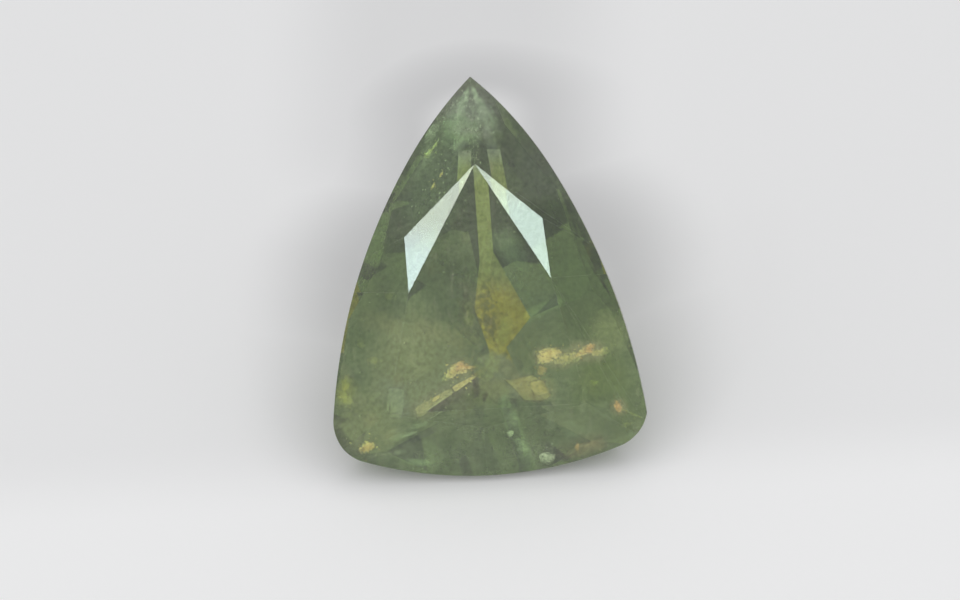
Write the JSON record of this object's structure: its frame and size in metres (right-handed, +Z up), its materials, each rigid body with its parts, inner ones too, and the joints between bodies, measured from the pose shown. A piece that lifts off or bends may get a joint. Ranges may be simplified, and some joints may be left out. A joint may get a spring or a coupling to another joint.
{
  "type": "cut alexandrite gemstone",
  "caption": "Loose cut alexandrite: a sharp-tipped triangle with bulging sides, a flat five-sided table, faceted crown and pavilion, lying on one pavilion facet.",
  "frame": {"origin": "on the surface that the stone lies on, under the middle of its bounding box", "axes": "+Z up, +X to the right as the table is faced, +Y from the table's side towards the raised tip; the table faces -Y and up"},
  "size_m": [0.0084, 0.0068, 0.0088],
  "materials": {
    "alexandrite": "polished, see-through, hazy grey-green"
  },
  "bodies": {
    "root": {"gemstone": "alexandrite"}
  },
  "joints": []
}
